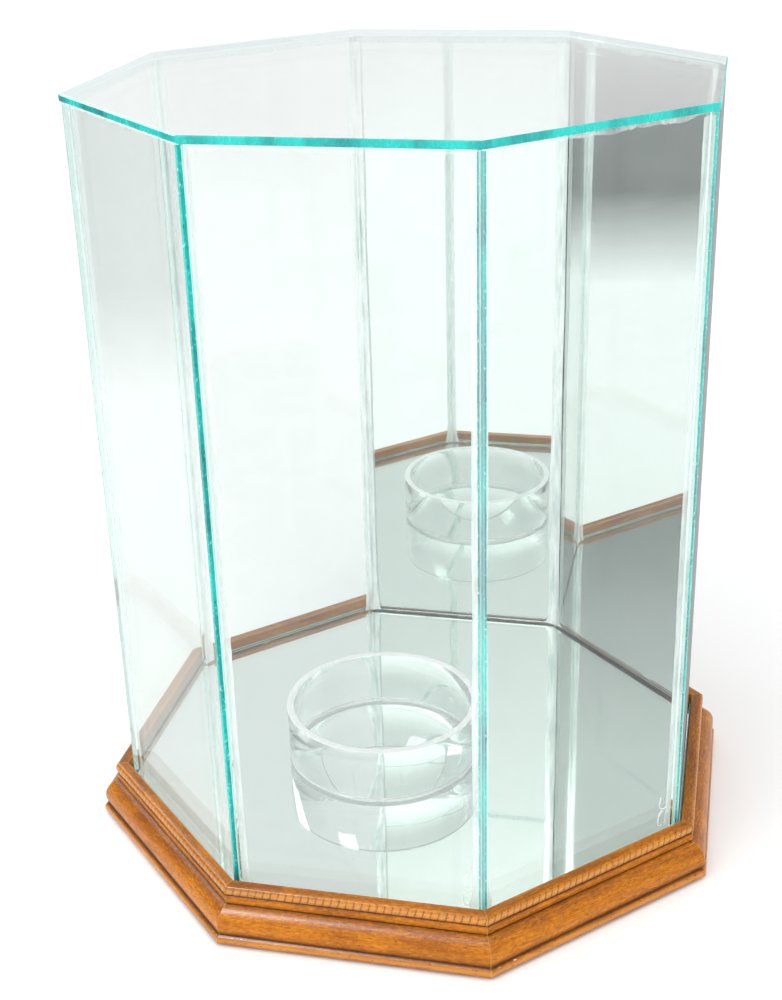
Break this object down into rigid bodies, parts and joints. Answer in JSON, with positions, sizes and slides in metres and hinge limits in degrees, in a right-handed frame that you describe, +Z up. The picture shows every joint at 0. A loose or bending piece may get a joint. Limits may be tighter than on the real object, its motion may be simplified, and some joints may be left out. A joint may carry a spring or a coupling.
{
  "type": "football display case",
  "caption": "Octagonal glass display case on a moulded timber base, with a mirror floor and mirrored back, a lift-off glass cover and a clear ring that stands a football on its point.",
  "frame": {"origin": "on the surface the case stands on, under the middle of the base", "axes": "+Z up; -Y is the clear front, so the mirrored panels face +Y; one flat of the octagon faces each of -Y, +X, +Y and -X"},
  "size_m": [0.276, 0.276, 0.33],
  "materials": {
    "stained_wood": "honey walnut stain, dark glaze in the grooves, satin lacquer",
    "fibreboard": "raw medium density fibreboard",
    "mirror_glass": "back-silvered float glass, grey backing paint, ground edges",
    "clear_glass": "clear float glass with ground, blue-green edges",
    "silicone": "clear silicone, tooled by hand, slightly cloudy",
    "steel": "bright zinc plated",
    "felt": "dark brown self-adhesive felt",
    "acrylic": "clear cast acrylic tube, polished wall, sawn and frosted rims"
  },
  "bodies": {
    "base": {"base_rail_front": "stained_wood", "base_rail_front_right": "stained_wood", "base_rail_right": "stained_wood", "base_rail_back_right": "stained_wood", "base_rail_back": "stained_wood", "base_rail_back_left": "stained_wood", "base_rail_left": "stained_wood", "base_rail_front_left": "stained_wood", "base_board": "fibreboard", "mirror_floor": "mirror_glass", "mitre_v_nails": "steel", "board_screws": "steel", "felt_pads": "felt"},
    "glass_cover": {"top_glass": "clear_glass", "glass_panel_front": "clear_glass", "glass_panel_front_right": "clear_glass", "glass_panel_right": "clear_glass", "mirror_panel_back_right": "mirror_glass", "mirror_panel_back": "mirror_glass", "mirror_panel_back_left": "mirror_glass", "glass_panel_left": "clear_glass", "glass_panel_front_left": "clear_glass", "corner_seal_1": "silicone", "corner_seal_2": "silicone", "corner_seal_3": "silicone", "corner_seal_4": "silicone", "corner_seal_5": "silicone", "corner_seal_6": "silicone", "corner_seal_7": "silicone", "corner_seal_8": "silicone", "top_seal": "silicone"},
    "ring": {"football_ring": "acrylic"}
  },
  "joints": [
    {"name": "cover_lift", "type": "slide", "parent": "base", "child": "glass_cover", "axis": [0, 0, 1], "range_m": [0, 0.35]},
    {"name": "ring_lift", "type": "slide", "parent": "base", "child": "ring", "axis": [0, 0, 1], "range_m": [0, 0.27]}
  ]
}
